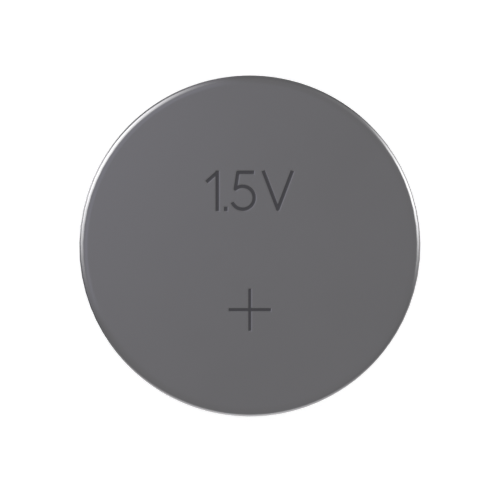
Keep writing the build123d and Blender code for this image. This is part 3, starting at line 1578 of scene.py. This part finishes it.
WATTS = 4.0  # of an area light, for a radiance of 1 from each square metre


@dataclass(frozen=True)
class Softbox:
    """A rectangular light that faces the cell and fades towards its two ends.

    Attributes:
        name: of the light.
        azimuth: of its middle from +X, in degrees.
        elevation: of its middle above the cell, in degrees.
        width: along the horizon.
        height: across it.
        radiance: of its middle.
        fade: power of (1 - x x) that its radiance follows, x being -1 and 1 at its ends.
        distance: from the cell.
        glossy: True for a light that only shows in reflections, False for one that never does.
    """

    name: str
    azimuth: float
    elevation: float
    width: float
    height: float
    radiance: float
    fade: float = 0.0
    distance: float = 0.060
    glossy: bool = True

    def _dim(self, data: bpy.types.AreaLight) -> None:
        """Makes the light fade towards its ends.

        Args:
            data: the light.
        """
        tree = Tree(data)
        along = 2.0 * tree.split(tree.add("ShaderNodeNewGeometry", {}, {}, "Parametric"))[0] - 1.0
        strength = (1.0 - along * along) ** self.fade
        glow = tree.add("ShaderNodeEmission", {}, {"Strength": strength})
        tree.close("ShaderNodeOutputLight", glow)

    def add(self, centre: Vector) -> None:
        """Makes the light.

        Args:
            centre: what it faces.
        """
        towards = aim(self.azimuth, self.elevation)
        data = bpy.data.lights.new(self.name, "AREA")
        data.shape = "RECTANGLE"
        data.size, data.size_y = self.width, self.height
        data.energy = self.radiance * WATTS * self.width * self.height
        if self.fade:
            self._dim(data)
        light = bpy.data.objects.new(self.name, data)
        light.location = centre + towards * self.distance
        light.rotation_euler = towards.to_track_quat("Z", "Y").to_euler()
        light.visible_camera = False
        light.visible_diffuse = not self.glossy
        light.visible_glossy = self.glossy
        bpy.context.scene.collection.objects.link(light)


@dataclass(frozen=True)
class Studio:
    """A white sweep, softboxes and cards all round, a plain sky and the camera overhead.

    Attributes:
        centre: middle of the cell.
        face: height of the positive face.
        floor_radius: of the sweep's level part.
        bend_radius: of the bend between it and the wall.
        wall_top: height of the wall.
        segments: of the sweep, round its axis.
        flat_hold: distance from the bend to the point that keeps the floor flat.
        camera_height: of the camera above the face.
        camera_shift: how far it is moved across and up from over the middle of the cell.
        lens: its focal length, in millimetres as the sensor's width is.
        sensor: the sensor's width.
        clip: nearest and furthest distance that it sees.
        zenith: level of the sky overhead.
        lean: how much brighter the sky is on its bright side.
        bright_side: azimuth of that side, in degrees.
        narrow: how fast the bright side ends to the left and right.
        bright_edge: how far towards that side it comes in.
        level_share: what is left of it near the horizon.
        rise_edge: height at which the rest comes in.
        dusk: how much darker the horizon is.
        dusk_edge: height at which that ends.
        shade: what the ground takes away.
        shade_edge: depth under the horizon at which it does.
        grey: the sky's tint.
        blue: its tint on the bright side.
        boxes: the lights.
    """

    centre: Vector
    face: float
    floor_radius: float = 0.22
    bend_radius: float = 0.06
    wall_top: float = 0.14
    segments: int = 96
    flat_hold: float = 1.0 * MM
    camera_height: float = 94.14 * MM
    camera_shift: tuple[float, float] = (0.008 * MM, -0.137 * MM)
    lens: float = 200.0
    sensor: float = 36.0
    clip: Span = (0.005, 2.0)
    zenith: float = 0.2195
    lean: float = 0.425
    bright_side: float = 150.0
    narrow: float = 0.7
    bright_edge: Span = (-0.05, 0.12)
    level_share: float = 0.5
    rise_edge: Span = (0.50, 0.97)
    dusk: float = 0.12
    dusk_edge: Span = (0.10, 0.45)
    shade: float = 0.16
    shade_edge: Span = (0.40, 0.70)
    grey: Colour = (0.995, 0.985, 1.012)
    blue: Colour = (0.980, 0.970, 1.085)
    boxes: tuple[Softbox, ...] = (
        Softbox("left_softbox", 148.0, -3.0, 0.154, 0.031, 1.40, fade=4.0),
        Softbox("left_softbox_top", 147.0, 20.5, 0.154, 0.019, 0.88, fade=4.0),
        Softbox("left_softbox_brow", 133.0, 34.0, 0.064, 0.011, 0.18, fade=2.0),
        Softbox("left_reflector", 162.0, -48.0, 0.033, 0.034, 1.00, fade=0.8),
        Softbox("right_softbox", 22.0, -16.5, 0.080, 0.050, 1.22, fade=4.0),
        Softbox("right_softbox_top", 6.0, 1.0, 0.056, 0.034, 0.42, fade=3.0),
        Softbox("right_fill", 46.0, 4.0, 0.056, 0.044, 0.065, fade=1.0),
        Softbox("front_card", 271.0, -36.0, 0.158, 0.062, 0.44, fade=4.0),
        Softbox("front_brow", 265.0, 2.0, 0.080, 0.016, 0.05, fade=1.0),
        Softbox("front_foot_card", 288.0, -58.0, 0.180, 0.036, 0.32, fade=0.7),
        Softbox("back_foot_card", 92.0, -58.0, 0.044, 0.036, 0.30, fade=0.7),
        Softbox("floor_light", 90.0, 90.0, 0.40, 0.40, 1.3, distance=0.45, glossy=False),
    )

    def sweep(self) -> None:
        """Turns a floor, a quarter-round bend and a wall about Z."""
        wall = self.floor_radius + self.bend_radius
        rows = [(0.0, 0.0, 0.0), (wall, 0.0, self.bend_radius), (wall, self.wall_top, 0.0)]
        section = replace(solid_section(rows, on_axis=True), hold=self.flat_hold)
        sheet = Surface.turned(section, even_angles(self.segments)).to_object("studio_sweep")
        sheet.data.materials.append(Paper("white_paper").material())
        sheet.visible_glossy = False

    def sky(self) -> None:
        """Lights by direction d, with u and v the level unit vectors along and across the bright side.

        The level is zenith (1 + lean S(d . u - narrow |d . v|)), where S is a smooth step that
        keeps its level share near the horizon. The horizon itself is darker by dusk, and the
        ground below it by shade.
        """
        world = bpy.data.worlds.new("studio_sky")
        bpy.context.scene.world = world
        tree = Tree(world)
        towards = tree.add("ShaderNodeTexCoord", {}, {}, "Generated")
        along, across = (
            tree.add("ShaderNodeVectorMath", {"operation": "DOT_PRODUCT"}, {0: towards, 1: side}, 1)
            for side in (tuple(aim(self.bright_side + turn, 0.0)) for turn in (0.0, 90.0))
        )
        up = tree.split(towards)[2]
        high = self.level_share + (1.0 - self.level_share) * up.step(*self.rise_edge)
        bright = (along - self.narrow * abs(across)).step(*self.bright_edge) * high
        below = (-1.0 * up).step(*self.shade_edge)
        clear = (1.0 - self.dusk) + self.dusk * abs(up).step(*self.dusk_edge)
        level = (1.0 + self.lean * bright) * self.zenith * clear - below * self.shade
        sockets = {"Color": tree.mix(bright, self.grey, self.blue), "Strength": level}
        tree.close("ShaderNodeOutputWorld", tree.add("ShaderNodeBackground", {}, sockets))

    def camera(self) -> None:
        """Hangs the camera straight above the face."""
        data = bpy.data.cameras.new("overhead_camera")
        data.lens, data.sensor_width = self.lens, self.sensor
        data.clip_start, data.clip_end = self.clip
        camera = bpy.data.objects.new("overhead_camera", data)
        across, up = self.camera_shift
        camera.location = (self.centre.x + across, self.centre.y + up, self.face + self.camera_height)
        bpy.context.scene.collection.objects.link(camera)
        bpy.context.scene.camera = camera

    def build(self) -> None:
        """Sets up everything round the cell."""
        self.sweep()
        self.sky()
        self.camera()
        for box in self.boxes:
            box.add(self.centre)
        bpy.context.scene.view_settings.view_transform = "Standard"


# ------------------------------------------------------------------------------ main


VOLTAGE = Mark((ONE, POINT, FIVE, VOLT), (0.21, 0.17, 0.26), 1.25 * MM, 1.87 * MM, 0.115 * MM)
POLARITY = Mark((PLUS,), (), 1.33 * MM, -2.160 * MM, 0.10 * MM)


def main() -> None:
    """Builds the closure, its contents and the studio."""
    logging.basicConfig(level=logging.INFO, format="%(name)s: %(message)s")
    closure = Closure.from_frame()
    closure.can(Engraving((VOLTAGE, POLARITY)))
    closure.gasket()
    closure.cap()
    contents = Contents.from_frame(closure)
    contents.pellet_ring()
    contents.cathode_pellet()
    contents.separator_film()
    contents.absorbent_pad()
    contents.anode_gel()
    low, high = cad_box
    Studio(centre=(low + high) / 2, face=closure.top).build()


if __name__ == "__main__":
    main()
